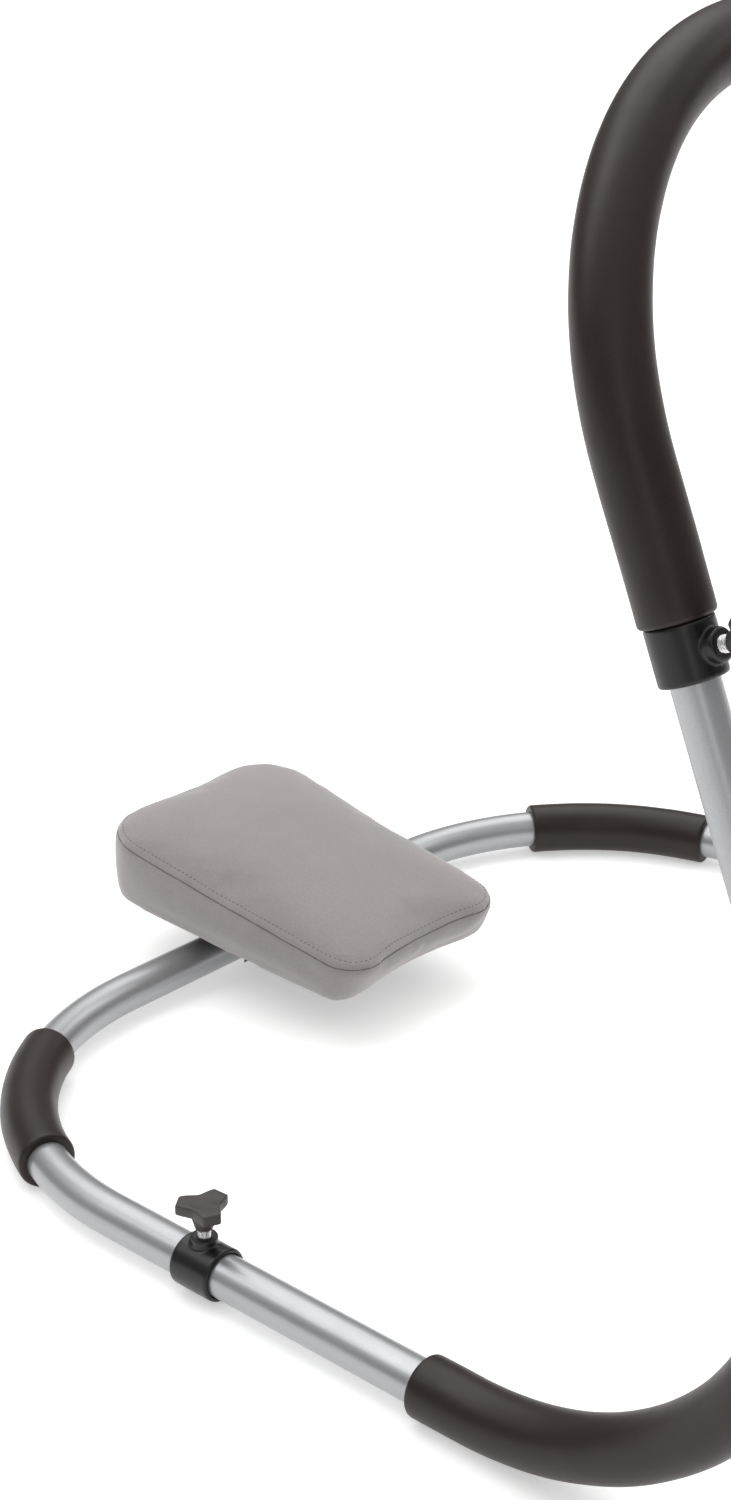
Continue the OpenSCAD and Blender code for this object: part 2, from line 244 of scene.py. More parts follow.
def suede():
    """Warm grey suede cloth: a short nap, brushed a little lighter and darker in patches."""
    base = (0.285, 0.262, 0.260)
    s = Shader("suede", base, 0.92, Sheen_Weight=0.55, Sheen_Roughness=0.55)
    s.bsdf.inputs["Sheen Tint"].default_value = (0.95, 0.92, 0.92, 1)
    patches = s.ramp(s.noise(16, 5, 0.6), [(0.25, (0.88, 0.87, 0.885)), (0.75, (1.0, 1.0, 1.0))])
    nap = s.ramp(s.noise(900, 3, 0.7), [(0.25, tuple(0.86 * c for c in base)),
                                        (0.75, tuple(1.1 * c for c in base))])
    s.colour(s.mix("MULTIPLY", 1.0, nap, patches))
    s.bump([(s.noise(1400, 3, 0.7), 0.35, 0.0003), (s.noise(75, 4), 0.16, 0.0012)])
    return s.material


def thread_material():
    """Grey sewing thread, darker than the cloth."""
    s = Shader("thread", (0.12, 0.105, 0.11), 0.75)
    s.bump([(s.noise(2500, 2), 0.3, 0.0001)])
    return s.material


def board_material():
    """Headrest board: black textured plastic sheet."""
    s = Shader("board", (0.02, 0.019, 0.019), 0.55)
    s.bump([(s.cells(700), 0.3, 0.0003)])
    return s.material


def core_foam():
    """Cream cushion foam, inside the cover."""
    s = Shader("core_foam", (0.62, 0.55, 0.36), 0.9)
    s.bump([(s.cells(500), 0.5, 0.0006)])
    return s.material


def studio_floor():
    """White paper floor."""
    s = Shader("floor", (0.80, 0.80, 0.80), 0.8, Emission_Strength=0.44)
    s.bsdf.inputs["Emission Color"].default_value = (1, 1, 1, 1)
    s.bsdf.inputs["Specular IOR Level"].default_value = 0.1
    s.bump([(s.noise(30, 2), 0.02, 0.001)])
    return s.material


# ---- mesh helpers ----
def mesh_object(name, points, faces, material, sharp_deg=None):
    """A smooth-shaded mesh; edges sharper than sharp_deg stay crisp."""
    mesh = bpy.data.meshes.new(name)
    mesh.from_pydata([tuple(p) for p in points], [], faces)
    mesh.validate()
    shaped = bmesh.new()
    shaped.from_mesh(mesh)
    bmesh.ops.recalc_face_normals(shaped, faces=shaped.faces)
    shaped.to_mesh(mesh)
    shaped.free()
    mesh.shade_smooth()
    if sharp_deg:
        mesh.set_sharp_from_angle(angle=math.radians(sharp_deg))
    obj = bpy.data.objects.new(name, mesh)
    bpy.context.scene.collection.objects.link(obj)
    obj.data.materials.append(material)
    return obj


def grid_faces(rows, columns, close_rows=False):
    """Quads of a grid of points whose columns close on themselves."""
    last = rows if close_rows else rows - 1
    return [
        (r * columns + c, r * columns + (c + 1) % columns,
         (r + 1) % rows * columns + (c + 1) % columns, (r + 1) % rows * columns + c)
        for r in range(last) for c in range(columns)
    ]


def mirrored(point, side):
    """The right side's point, or its mirror image on the left."""
    return Vector((point.x, -side * point.y, point.z))


class CentreLine:
    """Straight runs and arcs in one plane. Bends turn by the right-hand rule about the normal."""

    def __init__(self, start, direction, normal):
        self.normal = normal
        self.ends = [(0.0, start, direction)]
        self.runs = []

    def straight(self, length):
        s, point, direction = self.ends[-1]
        self.runs.append((s, length, None))
        self.ends.append((s + length, point + direction * length, direction))
        return self

    def bend(self, radius, angle):
        s, point, direction = self.ends[-1]
        self.runs.append((s, radius * angle, radius))
        centre = point + self.normal.cross(direction) * radius
        turn = Matrix.Rotation(angle, 3, self.normal)
        self.ends.append((s + radius * angle, centre + turn @ (point - centre), turn @ direction))
        return self

    def length(self):
        return self.ends[-1][0]

    def at(self, s):
        """The point and the direction at a length along the line."""
        chosen = 0
        for k, (start, length, radius) in enumerate(self.runs):
            if s >= start:
                chosen = k
        start, length, radius = self.runs[chosen]
        _, point, direction = self.ends[chosen]
        if radius is None:
            return point + direction * (s - start), direction
        centre = point + self.normal.cross(direction) * radius
        turn = Matrix.Rotation((s - start) / radius, 3, self.normal)
        return centre + turn @ (point - centre), turn @ direction


# ---- foam sleeves ----
SKIN_WAVES = ((28, 0.00022), (90, 0.00007))    # noise frequency and height of the foam's skin


def foam_sleeve(name, line, first, last, bore, side, material, step=0.003, rim=0.0022):
    """A foam tube along a centre line: soft rims, an uneven skin, and a flat on the floor."""
    around = 72
    count = max(8, round((last - first - 2 * rim) / step))
    outer = [(first + rim * (1 - math.cos(a)), FOAM_R - rim * (1 - math.sin(a)))
             for a in (math.radians(d) for d in (0, 22.5, 45, 67.5))]
    outer += [(first + rim + (last - first - 2 * rim) * k / count, FOAM_R)
              for k in range(count + 1)]
    outer += [(last - (s - first), r) for s, r in reversed(outer[:4])]
    profile = outer + [(last - (last - first) * k / count, bore) for k in range(count + 1)]
    points = []
    for s, radius in profile:
        point, direction = line.at(s)
        across = line.normal.cross(direction)
        for k in range(around):
            angle = 2 * math.pi * k / around
            out = across * math.cos(angle) + line.normal * math.sin(angle)
            place = point + out * radius
            if radius > bore + 0.001:
                place += out * sum(noise(place * often) * height for often, height in SKIN_WAVES)
            place.z = max(place.z, FLOOR_GAP)
            points.append(mirrored(place, side))
    faces = grid_faces(len(profile), around, close_rows=True)
    obj = mesh_object(name, points, faces, material, 50)
    return obj


def corner_line():
    return CentreLine(crossbar_point(0, CORNER_R - RAIL_Y, 0), -Y, Z).bend(CORNER_R, math.pi / 2)


def rocker_line(foam_x):
    line = CentreLine(crossbar_point(foam_x, -RAIL_Y, 0), X, -Y)
    return line.straight(ROCKER_X - foam_x).bend(ROCKER_R, math.pi / 2 + LEAN)


def arch_line():
    line = CentreLine(LEG_FOOT + LEG_DIR * ARCH_FOAM, LEG_DIR, -LEG_OUT)
    line.straight(ARCH_BEND - ARCH_FOAM).bend(ARCH_R, math.pi / 2)
    line.straight(2 * (RAIL_Y - ARCH_R)).bend(ARCH_R, math.pi / 2)
    return line.straight(ARCH_BEND - ARCH_FOAM)


def make_foam(material):
    for word, side in SIDES.items():
        first = CORNER_R * ELBOW_START[word]
        last = first + CORNER_R * ELBOW_SWEEP
        elbow = foam_sleeve(f"elbow_sleeve_{word}", corner_line(), first, last, TUBE_R, side,
                            material)
        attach(elbow, "rear_frame")
        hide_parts(f"elbow_foam_{word}")
        line = rocker_line(ROCKER_FOAM_X)
        rocker = foam_sleeve(f"rocker_sleeve_{word}", line, 0, line.length(), LEG_R, side,
                             material, 0.004)
        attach(rocker, "rockers")
        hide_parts(f"rocker_foam_{word}")
    line = arch_line()
    arch = foam_sleeve("arch_sleeve", line, 0, line.length(), TUBE_R, -1, material, 0.005)
    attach(arch, "hand_arch")
    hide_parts("hand_arch_foam")


# ---- headrest ----
PAD_TILT = math.radians(4.0)
PAD_WEDGE = math.tan(math.radians(5.0))
PAD_BACK, PAD_FRONT = 0.091, 0.148
PAD_HALF_BACK, PAD_HALF_FRONT = 0.0885, 0.0815
PAD_CORNER_BACK, PAD_CORNER_FRONT = 0.044, 0.030
PAD_BASE = 0.023              # height of the underside over the crossbar's centre line
PAD_EDGE = 0.0665             # height of the top edge there
PAD_CROWN = 0.0155
NECK_DEPTH = 0.0055           # hollow of the front edge
UNDERSIDE_X, CROWN_X = 0.025, 0.022    # middles of the underside and of the crown
UNDERSIDE_RINGS = ((0.0, 0.0035), (0.4, 0.0035), (0.76, 0.0035), (0.84, 0.0006), (0.92, 0.0))
SIDE_PANEL = [                # up the side from 0 to 1: pulled in at the sides, and at the front
    (0.0, 0.0060, 0.0160), (0.05, 0.0040, 0.0140), (0.12, 0.0028, 0.0122), (0.3, 0.0014, 0.0090),
    (0.5, 0.0004, 0.0060), (0.72, 0.0, 0.0028), (0.90, 0.0, 0.0008), (1.0, 0.0008, 0.0008),
]
EDGE_IN = 0.0008              # how far the top edge is pulled in
SEAM_DROP = 0.0030            # the seam runs this far below the top edge
ROW_IN, ROW_RISE = 0.0048, 0.0030      # the row of stitches, in from the edge and above it
CLOTH_FRAMES = 20
STAPLE_TOP, STAPLE_FADE = 0.011, 0.006
BOARD_Z, BOARD_T = 0.0245, 0.0090
BOARD_SCREW_X, BOARD_SCREW_Y = 0.029, 0.022


def pad_place(x, y, z):
    """From the headrest's own frame, tilted about the crossbar, to the row's frame."""
    return crossbar_point(x * math.cos(PAD_TILT) + z * math.sin(PAD_TILT), y,
                          z * math.cos(PAD_TILT) - x * math.sin(PAD_TILT))


def pad_edge_z(x):
    """Height of the cushion's top edge in the headrest's frame: it is a wedge."""
    return PAD_EDGE - x * PAD_WEDGE


def pad_outline(count=220):
    """Plan of the cushion: evenly spaced (x, y, outward normal x, outward normal y)."""
    corner_x, corner_y = PAD_FRONT - PAD_CORNER_FRONT, PAD_HALF_FRONT - PAD_CORNER_FRONT
    back_x, back_y = PAD_CORNER_BACK - PAD_BACK, PAD_HALF_BACK - PAD_CORNER_BACK
    half = []
    for k in range(25):
        u = k / 24
        half.append((PAD_FRONT - NECK_DEPTH * (1 - u * u), corner_y * u))
    for k in range(1, 17):
        a = math.pi / 2 * k / 16
        half.append((corner_x + PAD_CORNER_FRONT * math.cos(a),
                     corner_y + PAD_CORNER_FRONT * math.sin(a)))
    for k in range(25):
        a = math.pi / 2 + math.pi / 2 * k / 24
        half.append((back_x + PAD_CORNER_BACK * math.cos(a),
                     back_y + PAD_CORNER_BACK * math.sin(a)))
    half.append((-PAD_BACK, 0))
    loop = np.array(half + [(x, -y) for x, y in half[-2:0:-1]])
    for _ in range(6):
        loop = 0.25 * np.roll(loop, 1, 0) + 0.5 * loop + 0.25 * np.roll(loop, -1, 0)
    closed = np.vstack([loop, loop[:1]])
    along = np.concatenate([[0], np.cumsum(np.linalg.norm(np.diff(closed, axis=0), axis=1))])
    even = np.linspace(0, along[-1], count, endpoint=False)
    x, y = np.interp(even, along, closed[:, 0]), np.interp(even, along, closed[:, 1])
    tangent = np.stack([np.roll(x, -1) - np.roll(x, 1), np.roll(y, -1) - np.roll(y, 1)], 1)
    tangent /= np.linalg.norm(tangent, axis=1)[:, None]
    return np.stack([x, y, tangent[:, 1], -tangent[:, 0]], 1)


def pad_ring(outline, side_in, front_in, height):
    """One ring of the cushion, pulled in from the outline by side_in, or front_in at the front."""
    ring = []
    for x, y, nx, ny in outline:
        front = max(nx, 0.0) ** 2
        pull = side_in + (front_in - side_in) * front
        px, py = x - nx * pull, y - ny * pull
        ring.append((px, py, height(px)))
    return ring


def cushion_rings(outline, shrink, crown):
    """Rings from the middle of the underside, round the side and up to the middle of the top."""
    front_pull = 0.010
    rings = []
    for scale, recess in UNDERSIDE_RINGS:
        rings.append([(UNDERSIDE_X + (x - max(nx, 0) * front_pull - UNDERSIDE_X) * scale,
                       y * scale, PAD_BASE + recess) for x, y, nx, ny in outline])
    for up, side_in, front_in in SIDE_PANEL:
        def level(x, up=up):
            return PAD_BASE + (pad_edge_z(x) - shrink - PAD_BASE) * up
        rings.append(pad_ring(outline, side_in + shrink, front_in + shrink, level))
    for k in range(1, 17):
        reach = (k / 16) ** 1.5
        ring = []
        for x, y, nx, ny in outline:
            edge_x, edge_y = x - nx * (EDGE_IN + shrink), y - ny * (EDGE_IN + shrink)
            px = edge_x + (CROWN_X - edge_x) * reach
            py = edge_y * (1 - reach)
            rise = crown * (1 - (1 - reach) ** 3.0)
            ring.append((px, py, pad_edge_z(px) - shrink + rise))
        rings.append(ring)
    return rings


def bare_mesh(rings):
    """A closed mesh through rings whose first and last have shrunk to a point."""
    columns = len(rings[0])
    points = [pad_place(*rings[0][0])] + [pad_place(*p) for ring in rings[1:-1] for p in ring]
    points.append(pad_place(*rings[-1][0]))
    inner = len(rings) - 2
    faces = [tuple(1 + i for i in face) for face in grid_faces(inner, columns)]
    top, last = len(points) - 1, 1 + (inner - 1) * columns
    for c in range(columns):
        faces.append((0, 1 + (c + 1) % columns, 1 + c))
        faces.append((top, last + c, last + (c + 1) % columns))
    return points, faces


def inflate(obj, pressure, cap):
    """Blows the mesh up as cloth, with its underside held, and caps how far any point moves."""
    scene = bpy.context.scene
    rest = np.array([v.co for v in obj.data.vertices])
    held = obj.vertex_groups.new(name="stapled")
    for vertex in obj.data.vertices:
        local = vertex.co - CROSSBAR
        height = local.z * math.cos(PAD_TILT) + local.x * math.sin(PAD_TILT) - PAD_BASE
        hold = min(1.0, max(0.0, (STAPLE_TOP - height) / STAPLE_FADE))
        held.add([vertex.index], hold, "REPLACE")
    cloth = obj.modifiers.new("cloth", "CLOTH")
    cloth.settings.vertex_group_mass = "stapled"
    cloth.settings.quality = 5
    cloth.settings.mass = 0.25
    cloth.settings.tension_stiffness = 18
    cloth.settings.compression_stiffness = 12
    cloth.settings.shear_stiffness = 8
    cloth.settings.bending_stiffness = 3
    cloth.settings.use_pressure = True
    cloth.settings.uniform_pressure_force = pressure
    cloth.settings.effector_weights.gravity = 0
    cloth.point_cache.frame_end = CLOTH_FRAMES
    for step in range(1, CLOTH_FRAMES + 1):
        scene.frame_set(step)
    shaped = obj.evaluated_get(bpy.context.evaluated_depsgraph_get())
    moved = np.array([v.co for v in shaped.data.vertices])
    obj.modifiers.remove(cloth)
    scene.frame_set(1)
    shift = moved - rest
    length = np.linalg.norm(shift, axis=1)
    shift *= (cap * np.tanh(length / cap) / np.maximum(length, 1e-9))[:, None]
    obj.data.vertices.foreach_set("co", (rest + shift).ravel())
    obj.data.update()


def apply_modifier(obj, kind, **settings):
    made = obj.modifiers.new(kind.lower(), kind)
    for key, value in settings.items():
        setattr(made, key, value)
    bpy.context.view_layer.objects.active = obj
    bpy.ops.object.modifier_apply(modifier=made.name)


def surface_line(tree, rings, out):
    """Points of a ring laid on the cushion's surface, lifted off it by out."""
    line = [(pad_place(*place), None) for place in rings]
    for relaxing in (10, 3):
        line = [tree.find_nearest(spot)[:2] for spot, _ in line]
        for _ in range(relaxing):
            line = [((line[k - 1][0] + line[k][0] * 2 + line[(k + 1) % len(line)][0]) / 4,
                     (line[k - 1][1] + line[k][1] * 2 + line[(k + 1) % len(line)][1]).normalized())
                    for k in range(len(line))]
    line = [(tree.find_nearest(spot)[0], normal) for spot, normal in line]
    return [(spot + normal * out, normal) for spot, normal in line]


def groove(obj, line, depth, width):
    """Presses a soft channel into the cushion along a line on its surface."""
    path = np.array([spot for spot, _ in line])
    co = np.array([v.co for v in obj.data.vertices])
    normals = np.array([v.normal for v in obj.data.vertices])
    gap = np.full(len(co), 1.0)
    for start in range(0, len(co), 4000):
        part = co[start:start + 4000]
        gap[start:start + 4000] = np.sqrt(((part[:, None] - path[None]) ** 2).sum(2)).min(1)
    press = depth * np.exp(-((gap / width) ** 2))
    obj.data.vertices.foreach_set("co", (co - normals * press[:, None]).ravel())
    obj.data.update()


def cord_mesh(name, line, radius, material, dash=None):
    """A thin closed thread along a line of (point, normal), or with dash=(on, off) stitches."""
    spots = np.array([spot for spot, _ in line])
    normals = np.array([normal for _, normal in line])
    closed = np.vstack([spots, spots[:1]])
    along = np.concatenate([[0], np.cumsum(np.linalg.norm(np.diff(closed, axis=0), axis=1))])
    total = along[-1]

    def at(s):
        s = s % total
        k = min(int(np.searchsorted(along, s, side="right")) - 1, len(spots) - 1)
        u = (s - along[k]) / max(along[k + 1] - along[k], 1e-9)
        follow = (k + 1) % len(spots)
        return (spots[k] * (1 - u) + spots[follow] * u,
                normals[k] * (1 - u) + normals[follow] * u)

    points, faces = [], []

    def tube(first, last, count, sunk):
        base = len(points)
        sides = 6
        for k in range(count + 1):
            u = k / count
            spot, normal = at(first + (last - first) * u)
            after, _ = at(first + (last - first) * u + 0.0004)
            normal = Vector(normal).normalized()
            ahead = (Vector(after) - Vector(spot)).normalized()
            across = ahead.cross(normal)
            dip = sunk * (abs(2 * u - 1) ** 3)
            taper = 1 - 0.45 * abs(2 * u - 1) ** 4 if sunk else 1
            for c in range(sides):
                a = 2 * math.pi * c / sides
                points.append(Vector(spot) - normal * dip
                              + (across * math.cos(a) + normal * math.sin(a)) * radius * taper)
        if sunk:
            faces.extend(tuple(base + i for i in f) for f in grid_faces(count + 1, sides))
            faces.append(tuple(base + c for c in range(sides)))
            faces.append(tuple(base + count * sides + c for c in reversed(range(sides))))
        else:
            faces.extend(tuple(base + i % (count * sides) for i in f)
                         for f in grid_faces(count + 1, sides))

    if dash:
        pitch = total / round(total / sum(dash))
        for k in range(round(total / pitch)):
            tube(k * pitch, k * pitch + pitch * dash[0] / sum(dash), 5, radius * 1.6)
    else:
        tube(0, total, 400, 0)
    return mesh_object(name, points, faces, material)


def make_cushion(cloth_material, thread):
    """The headrest's cushion: foam in a sewn cover, with an edge seam and a row of stitches."""
    outline = pad_outline()
    shrink = 0.0015
    points, faces = bare_mesh(cushion_rings(outline, shrink, PAD_CROWN))
    cushion = mesh_object("headrest_cushion", points, faces, cloth_material)
    apply_modifier(cushion, "REMESH", mode="VOXEL", voxel_size=0.0036)
    inflate(cushion, 4.0, 0.0035)
    apply_modifier(cushion, "SMOOTH", factor=0.5, iterations=3)
    apply_modifier(cushion, "SUBSURF", levels=1)
    cushion.data.shade_smooth()
    seam = pad_ring(outline, 0.0, 0.0, lambda x: pad_edge_z(x) - SEAM_DROP)
    top_row = pad_ring(outline, ROW_IN, ROW_IN, lambda x: pad_edge_z(x) + ROW_RISE)
    for ring, depth, width in ((seam, 0.0009, 0.0024), (top_row, 0.0005, 0.0018)):
        tree = BVHTree.FromObject(cushion, bpy.context.evaluated_depsgraph_get())
        groove(cushion, surface_line(tree, ring, 0), depth, width)
    tree = BVHTree.FromObject(cushion, bpy.context.evaluated_depsgraph_get())
    seam_line = surface_line(tree, seam, 0.00004)
    row_line = surface_line(tree, top_row, 0.00006)
    joint = cord_mesh("headrest_seam", seam_line, 0.00036, thread)
    stitches = cord_mesh("headrest_stitches", row_line, 0.00026, thread, (0.0024, 0.0011))
    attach(cushion, "headrest")
    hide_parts("headrest_cover", "headrest_core")
    for piece in (joint, stitches):
        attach(piece, "headrest")


def make_board(material):
    """The board under the cushion, with holes for the four wood screws."""
    outline = pad_outline()
    rings = [[(UNDERSIDE_X, 0, BOARD_Z)] * len(outline)]
    for z, inset in ((0, 0.0095), (0.0010, 0.0085), (0.0080, 0.0085), (BOARD_T, 0.0095)):
        rings.append(pad_ring(outline, inset, inset + 0.008, lambda x, z=z: BOARD_Z + z))
    rings.append([(UNDERSIDE_X, 0, BOARD_Z + BOARD_T)] * len(outline))
    points, faces = bare_mesh(rings)
    board = mesh_object("headrest_base", points, faces, material, 30)
    hole_r, hole_top = 0.0021, 0.0302
    for x in (-BOARD_SCREW_X, BOARD_SCREW_X):
        for y in (-BOARD_SCREW_Y, BOARD_SCREW_Y):
            foot, tip = pad_place(x, y, BOARD_Z - 0.002), pad_place(x, y, hole_top)
            way = tip - foot
            carve(board, cylinder_mesh(foot, way.normalized(), hole_r, way.length), material)
    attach(board, "headrest")
    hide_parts("headrest_board")


# ---- clamps ----
KNOB_Z, KNOB_H, KNOB_PLATE = 0.0245, 0.016, 0.0065
KNOB_R, LOBE_HALF, LOBE_WAIST = 0.015, 0.0048, 0.0094
KNOB_TURN = math.radians(94)
SCREW_R, SCREW_TIP, SCREW_TOP, SCREW_PITCH = 0.00395, 0.011225, 0.0360, 0.00125
COLLAR_R = 0.0156
BOSS_R, BOSS_TOP = 0.0077, 0.0200
NUT_HALF, NUT_Z, NUT_TOP = 0.0055, 0.0132, 0.0180    # the pocket: half its flats, and its heights
SCREW_HOLE_R = 0.0043
CLAMPS = {
    "rail": (crossbar_point(RAIL_CLAMP_X, -RAIL_Y, 0), X, Z),
    "arch": (LEG_FOOT + LEG_DIR * ARCH_CLAMP, -LEG_DIR, LEG_OUT),
}


def clamp_point(kind, side, x, y, z):
    """From a clamp's frame, with x along the tube and z up the screw, to the row's frame."""
    origin, along, up = CLAMPS[kind]
    return mirrored(origin + along * x + Y * y + up * z, side)


def cylinder_mesh(start, direction, radius, length, sides=48, turn=0.0):
    """Points and faces of a closed cylinder, or of a prism with few sides."""
    across = direction.orthogonal().normalized()
    other = direction.cross(across)
    points = []
    for z in (0, length):
        for k in range(sides):
            a = turn + 2 * math.pi * k / sides
            out = across * math.cos(a) + other * math.sin(a)
            points.append(start + direction * z + out * radius)
    faces = grid_faces(2, sides) + [tuple(reversed(range(sides))), tuple(range(sides, 2 * sides))]
    return points, faces


def carve(obj, shape, material):
    """Cuts a closed shape out of a mesh."""
    cutter = mesh_object("cutter", *shape, material)
    apply_modifier(obj, "BOOLEAN", operation="DIFFERENCE", object=cutter, solver="EXACT")
    mesh = cutter.data
    bpy.data.objects.remove(cutter)
    bpy.data.meshes.remove(mesh)


def lobe_radius(angle):
    """Outline of the three-lobed knob: flat ends with round corners, a shallow curve between."""
    half = math.atan2(LOBE_HALF, KNOB_R)
    reach = math.hypot(KNOB_R, LOBE_HALF)
    total = 0
    for spread in (-0.036, -0.018, 0, 0.018, 0.036):
        a = (angle + spread + math.pi / 3) % (2 * math.pi / 3) - math.pi / 3
        if abs(a) <= half:
            total += KNOB_R / math.cos(a)
        else:
            away = (math.pi / 3 - abs(a)) / (math.pi / 3 - half)
            total += LOBE_WAIST + (reach - LOBE_WAIST) * away ** 2
    return total / 5


def make_knob(kind, word, side, material):
    """A three-lobed knob: tapered hub with a socket for the screw, rounded plate, dished top."""
    count = 144
    hub = KNOB_H - KNOB_PLATE
    socket = SCREW_TOP - KNOB_Z
    rings = [    # height, round radius, share of the lobed outline, inset of that outline
        (socket, 0, 0, 0), (socket, 0.004, 0, 0), (0, 0.004, 0, 0), (0, 0.0047, 0, 0),
        (0.0004, 0.0051, 0, 0), (hub * 0.5, 0.0063, 0, 0), (hub * 0.85, 0.0072, 0, 0),
        (hub * 0.96, 0.0079, 0.03, 0.001), (hub, 0.0083, 0.25, 0.001), (hub, 0.0083, 1, 0.0009),
        (hub + 0.0003, 0, 1, 0.0003), (hub + 0.0008, 0, 1, 0), (KNOB_H - 0.0014, 0, 1, 0),
        (KNOB_H - 0.0007, 0, 1, 0.0003), (KNOB_H - 0.0001, 0, 1, 0.0010), (KNOB_H, 0, 1, 0.0020),
        (KNOB_H - 0.0002, 0.0070, 0.3, 0.002), (KNOB_H - 0.0004, 0.0040, 0, 0),
        (KNOB_H - 0.0004, 0, 0, 0),
    ]
    points = []
    for z, radius, lobed, inset in rings:
        for k in range(count):
            a = 2 * math.pi * k / count
            r = radius * (1 - lobed) + (lobe_radius(a) - inset) * lobed
            turn = a + KNOB_TURN
            across, other = r * math.cos(turn), r * math.sin(turn)
            points.append(clamp_point(kind, side, across, other, KNOB_Z + z))
    faces = grid_faces(len(rings), count)
    obj = mesh_object(f"{kind}_grip_{word}", points, faces, material, 55)
    weld(obj)
    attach(obj, f"{kind}_knob_{word}")
    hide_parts(f"{kind}_knob_{word}")


def weld(obj):
    """Merges the points that a ring of no radius leaves on one spot."""
    shaped = bmesh.new()
    shaped.from_mesh(obj.data)
    bmesh.ops.remove_doubles(shaped, verts=shaped.verts, dist=0.000002)
    bmesh.ops.dissolve_degenerate(shaped, edges=shaped.edges, dist=0.000001)
    bmesh.ops.recalc_face_normals(shaped, faces=shaped.faces)
    shaped.to_mesh(obj.data)
    shaped.free()


def make_screw(kind, word, side, material):
    """A clamp screw with a rolled M8 thread, right-handed on both sides, and a chamfered tip."""
    around = 40
    rows = round((SCREW_TOP - SCREW_TIP) / 0.00016)
    points = []
    for row in range(rows + 1):
        z = SCREW_TIP + (SCREW_TOP - SCREW_TIP) * row / rows
        tip = min(1.0, 0.78 + (z - SCREW_TIP) / 0.0012 * 0.22)
        for k in range(around):
            a = 2 * math.pi * k / around
            wave = abs((z / SCREW_PITCH + side * a / (2 * math.pi)) % 1 * 2 - 1)
            r = (SCREW_R - 0.00062 * min(1.0, max(0.0, wave * 1.5 - 0.3))) * tip
            points.append(clamp_point(kind, side, r * math.cos(a), r * math.sin(a), z))
    faces = grid_faces(rows + 1, around)
    faces += [tuple(range(around)), tuple(rows * around + k for k in range(around))]
    obj = mesh_object(f"{kind}_thread_{word}", points, faces, material, 50)
    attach(obj, f"{kind}_screw_{word}")
    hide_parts(f"{kind}_screw_{word}")


def turned(kind, profile, along, count=96):
    """A closed solid turned from (length, radius) pairs about the tube, x, or the screw, z."""
    points = []
    for length, radius in profile:
        for k in range(count):
            a = 2 * math.pi * k / count
            across, other = radius * math.cos(a), radius * math.sin(a)
            place = (length, across, other) if along == "x" else (across, other, length)
            points.append(clamp_point(kind, -1, *place))
    faces = grid_faces(len(profile), count)
    last = (len(profile) - 1) * count
    faces += [tuple(range(count)), tuple(last + k for k in range(count))]
    return points, faces


def rounded_ends(x0, x1, radius, rim):
    """Profile of a cylinder with round rims."""
    arcs = [math.radians(d) for d in (0, 22.5, 45, 67.5, 90)]
    corner = [(rim * (1 - math.sin(a)), radius - rim * (1 - math.cos(a))) for a in arcs]
    return [(x0 + dx, r) for dx, r in reversed(corner)] + [(x1 - dx, r) for dx, r in corner]


def make_collars(kind, x0, x1, mouth, lip_r, body, material):
    """A pair of moulded collars: barrel and boss in one skin, then bores, pocket and screw hole."""
    barrel = turned(kind, rounded_ends(x0, x1, COLLAR_R, 0.0013), "x")
    shell = mesh_object(f"{kind}_clamp_right", *barrel, material)
    post = turned(kind, rounded_ends(0.002, BOSS_TOP, BOSS_R, 0.0012), "z")
    boss = mesh_object("boss", *post, material)
    bpy.ops.object.select_all(action="DESELECT")
    boss.select_set(True)
    shell.select_set(True)
    bpy.context.view_layer.objects.active = shell
    bpy.ops.object.join()
    apply_modifier(shell, "REMESH", mode="VOXEL", voxel_size=0.0006)
    apply_modifier(shell, "SMOOTH", factor=0.5, iterations=7)
    origin, along, up = CLAMPS[kind]
    for start, radius, length in ((x0 - 0.002, TUBE_R, mouth - x0 + 0.002),
                                  (mouth - 0.001, lip_r, x1 - mouth + 0.003)):
        bore = cylinder_mesh(origin + along * start, along, radius, length, 96)
        carve(shell, bore, material)
    carve(shell, cylinder_mesh(origin + up * 0.005, up, SCREW_HOLE_R, 0.020), material)
    carve(shell, nut_pocket(kind), material)
    shell.data.shade_smooth()
    shell.data.set_sharp_from_angle(angle=math.radians(40))
    twin = bpy.data.objects.new(f"{kind}_clamp_left", shell.data.copy())
    bpy.context.scene.collection.objects.link(twin)
    twin.data.transform(Matrix.Diagonal((1, -1, 1, 1)))
    twin.data.flip_normals()
    for word, obj in (("right", shell), ("left", twin)):
        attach(obj, body)
        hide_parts(f"{kind}_collar_{word}")


def nut_pocket(kind):
    """The nut's pocket, on the right side."""
    points = []
    for z in (NUT_Z, NUT_TOP):
        for k in range(6):
            a = math.radians(60 * k)
            r = NUT_HALF / math.cos(math.radians(30)) + 0.00002
            points.append(clamp_point(kind, -1, r * math.cos(a), r * math.sin(a), z))
    return points, grid_faces(2, 6) + [tuple(range(6)), tuple(range(6, 12))]


def make_clamps(materials):
    for word, side in SIDES.items():
        for kind in CLAMPS:
            make_knob(kind, word, side, materials["knob_plastic"])
            make_screw(kind, word, side, materials["screw_steel"])
    plastic = materials["clamp_plastic"]
    make_collars("rail", -0.013, 0.0155, 0.008, TUBE_R + 0.0008, "rear_frame", plastic)
    make_collars("arch", -0.013, 0.013, 0.009, LEG_R + 0.0003, "hand_arch", plastic)


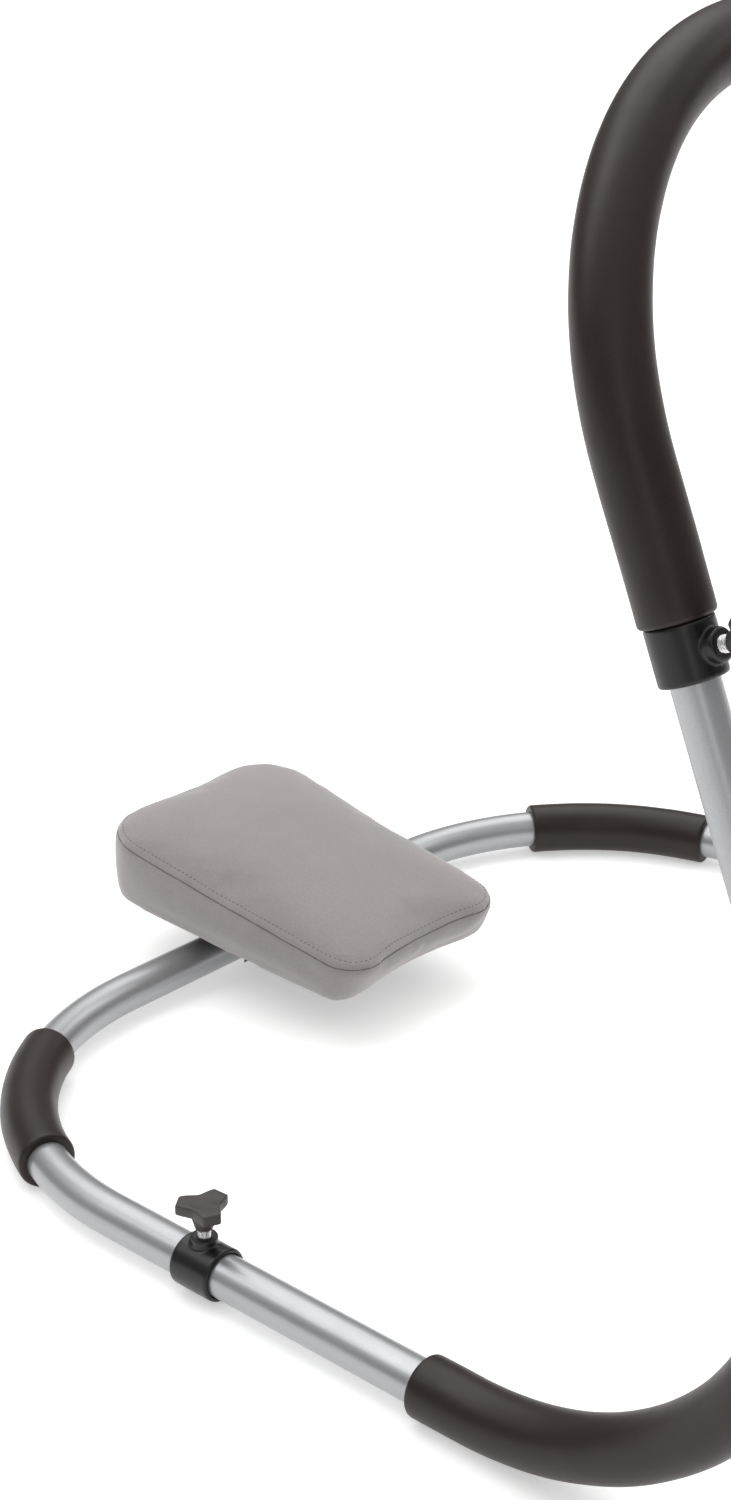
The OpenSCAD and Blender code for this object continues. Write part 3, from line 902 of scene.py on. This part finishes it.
# ---- stage ----
SURROUND_STRENGTH = 0.8
SURROUND = [(0.0, 0.22), (0.16, 0.28), (0.42, 0.45), (0.62, 1.0), (0.85, 1.15), (1.0, 0.8)]
SUN_STRENGTH, SUN_ANGLE = 1.3, math.radians(60)
AREA_LIGHTS = [    # name, place, size, power
    ("key", (-0.9, -1.0, 1.9), (0.5, 1.6), 8),
    ("fill", (1.6, -1.6, 1.2), (0.5, 1.2), 3),
    ("back", (0.3, 1.9, 1.6), (1.6, 0.5), 6),
]


def make_surround():
    """Lights the object by a grey ramp over height, but shows the camera plain white."""
    world = bpy.data.worlds.new("surround")
    bpy.context.scene.world = world
    world.use_nodes = True
    tree = world.node_tree
    sky = tree.nodes["Background"]
    sky.inputs["Strength"].default_value = SURROUND_STRENGTH
    toward = tree.nodes.new("ShaderNodeTexCoord")
    split = tree.nodes.new("ShaderNodeSeparateXYZ")
    ramp = tree.nodes.new("ShaderNodeValToRGB")
    while len(ramp.color_ramp.elements) < len(SURROUND):
        ramp.color_ramp.elements.new(0.5)
    for element, (place, grey) in zip(ramp.color_ramp.elements, SURROUND):
        element.position = place
        element.color = (grey, grey, grey * 0.99, 1)
    tree.links.new(toward.outputs["Generated"], split.inputs["Vector"])
    tree.links.new(split.outputs["Z"], ramp.inputs["Fac"])
    tree.links.new(ramp.outputs["Color"], sky.inputs["Color"])
    plain = tree.nodes.new("ShaderNodeBackground")
    path = tree.nodes.new("ShaderNodeLightPath")
    pick = tree.nodes.new("ShaderNodeMixShader")
    tree.links.new(path.outputs["Is Camera Ray"], pick.inputs[0])
    tree.links.new(sky.outputs["Background"], pick.inputs[1])
    tree.links.new(plain.outputs["Background"], pick.inputs[2])
    tree.links.new(pick.outputs["Shader"], tree.nodes["World Output"].inputs["Surface"])
    plain.inputs["Color"].default_value = (1, 1, 1, 1)


def make_stage():
    """A white floor, a white surround and soft studio lights."""
    bpy.ops.mesh.primitive_plane_add(size=60, location=(0, 0, -0.0003))
    floor = bpy.context.object
    floor.name = "floor"
    floor.data.materials.append(studio_floor())
    make_surround()
    sun = bpy.data.lights.new("sun", "SUN")
    sun.energy = SUN_STRENGTH
    sun.angle = SUN_ANGLE
    lamp = bpy.data.objects.new("sun", sun)
    lamp.rotation_euler = (math.radians(-14), math.radians(-20), 0)
    bpy.context.scene.collection.objects.link(lamp)
    aim = Vector((0, 0, 0.15))
    for name, place, size, power in AREA_LIGHTS:
        data = bpy.data.lights.new(name, "AREA")
        data.shape = "RECTANGLE"
        data.size, data.size_y = size
        data.energy = power
        lamp = bpy.data.objects.new(name, data)
        lamp.location = place
        lamp.rotation_euler = (aim - lamp.location).to_track_quat("-Z", "Y").to_euler()
        bpy.context.scene.collection.objects.link(lamp)
    bpy.context.scene.view_settings.view_transform = "Standard"


def dress_cad(materials):
    """Every CAD node that shows gets its material by its record slot."""
    slots = {row["node"]: row["material_slot"] for row in frame["record"]["subparts"]}
    for name, obj in nodes.items():
        obj.data.materials.clear()
        obj.data.materials.append(materials[slots[name]])


make_camera()
MATERIALS = {
    "frame_steel": frame_paint(),
    "foam_rubber": foam_skin(),
    "clamp_plastic": clamp_plastic(),
    "knob_plastic": knob_plastic(),
    "screw_steel": bright_steel(),
    "headrest_suede": suede(),
    "headrest_foam": core_foam(),
    "headrest_board": board_material(),
}
dress_cad(MATERIALS)
make_foam(MATERIALS["foam_rubber"])
make_cushion(MATERIALS["headrest_suede"], thread_material())
make_board(MATERIALS["headrest_board"])
make_clamps(MATERIALS)
make_stage()
